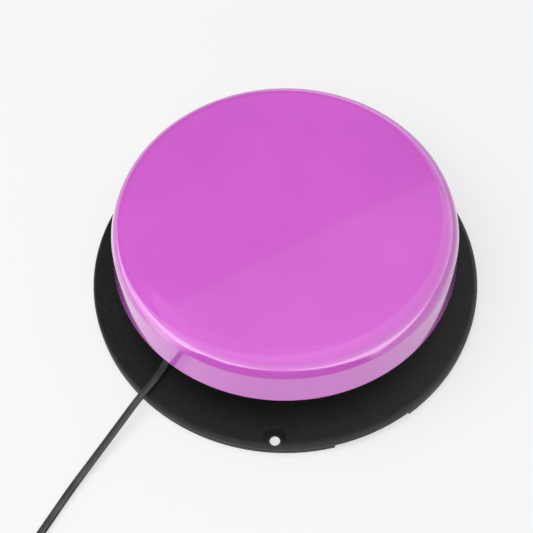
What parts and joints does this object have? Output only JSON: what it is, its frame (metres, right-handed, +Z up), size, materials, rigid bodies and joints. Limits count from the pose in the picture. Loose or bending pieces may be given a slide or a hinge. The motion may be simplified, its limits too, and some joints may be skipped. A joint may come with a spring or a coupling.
{
  "type": "large round press switch",
  "caption": "Large round press switch: glossy dish-shaped cap sprung above a wide matte screw-down base, with a thin cord and a small round plug.",
  "frame": {"origin": "centre of the round base, on the surface that its rubber feet stand on", "axes": "+Z up, along the cap's travel; -Y towards the first mounting hole, which is the front"},
  "size_m": [0.1623, 0.2252, 0.0427],
  "materials": {
    "cap_plastic": "high gloss",
    "shell_plastic": "fine spark texture",
    "plate_plastic": "fine spark texture",
    "foot_rubber": "matte",
    "screw_steel": "zinc plated",
    "spring_steel": "bright wire",
    "pad_rubber": "matte",
    "washer_steel": "zinc plated",
    "case_plastic": "satin",
    "lever_steel": "bright strip",
    "plunger_plastic": "satin",
    "terminal_brass": "tinned",
    "lead_red": "satin insulation",
    "lead_white": "satin insulation",
    "grommet_rubber": "matte",
    "clamp_nylon": "natural nylon",
    "cord_jacket": "soft matte jacket",
    "tie_nylon": "satin nylon",
    "plug_rubber": "moulded satin",
    "contact_metal": "nickel plated",
    "ring_plastic": "moulded"
  },
  "bodies": {
    "base": {"base_shell": "shell_plastic", "bottom_plate": "plate_plastic", "rubber_feet": "foot_rubber", "plate_screws": "screw_steel", "return_spring_rear": "spring_steel", "return_spring_left": "spring_steel", "return_spring_right": "spring_steel", "stop_pads": "pad_rubber", "switch_case": "case_plastic", "lever_pin": "lever_steel", "switch_terminals": "terminal_brass", "switch_screws": "screw_steel", "lead_common": "lead_red", "lead_open": "lead_white", "cord_grommet": "grommet_rubber", "cord_clamp": "clamp_nylon", "clamp_screws": "screw_steel", "cord": "cord_jacket", "cord_coil": "cord_jacket", "cable_tie": "tie_nylon", "cord_end": "cord_jacket", "plug_tail": "plug_rubber", "plug_grip": "plug_rubber", "plug_sleeve": "contact_metal", "plug_ring": "ring_plastic", "plug_tip": "contact_metal"},
    "cap": {"cap": "cap_plastic", "retaining_washers": "washer_steel", "retaining_screws": "screw_steel"},
    "lever": {"switch_lever": "lever_steel"},
    "plunger": {"switch_plunger": "plunger_plastic"}
  },
  "joints": [
    {"name": "cap_press", "type": "slide", "parent": "base", "child": "cap", "axis": [0, 0, -1], "range_m": [0, 0.002], "stiffness_N_per_m": 900, "springref_m": -0.0015, "deforming": ["return_spring_rear", "return_spring_left", "return_spring_right"]},
    {"name": "lever_swing", "type": "hinge", "parent": "base", "child": "lever", "pos_m": [-0.013, 0, 0.0217], "axis": [0, 1, 0], "range_deg": [0, 8.8]},
    {"name": "plunger_press", "type": "slide", "parent": "base", "child": "plunger", "axis": [0, 0, -1], "range_m": [0, 0.0007]}
  ],
  "couplings": [
    {"joint": "lever_swing", "follows": "cap_press", "rad_per_m": 75.7},
    {"joint": "plunger_press", "follows": "cap_press", "ratio": 0.307}
  ]
}
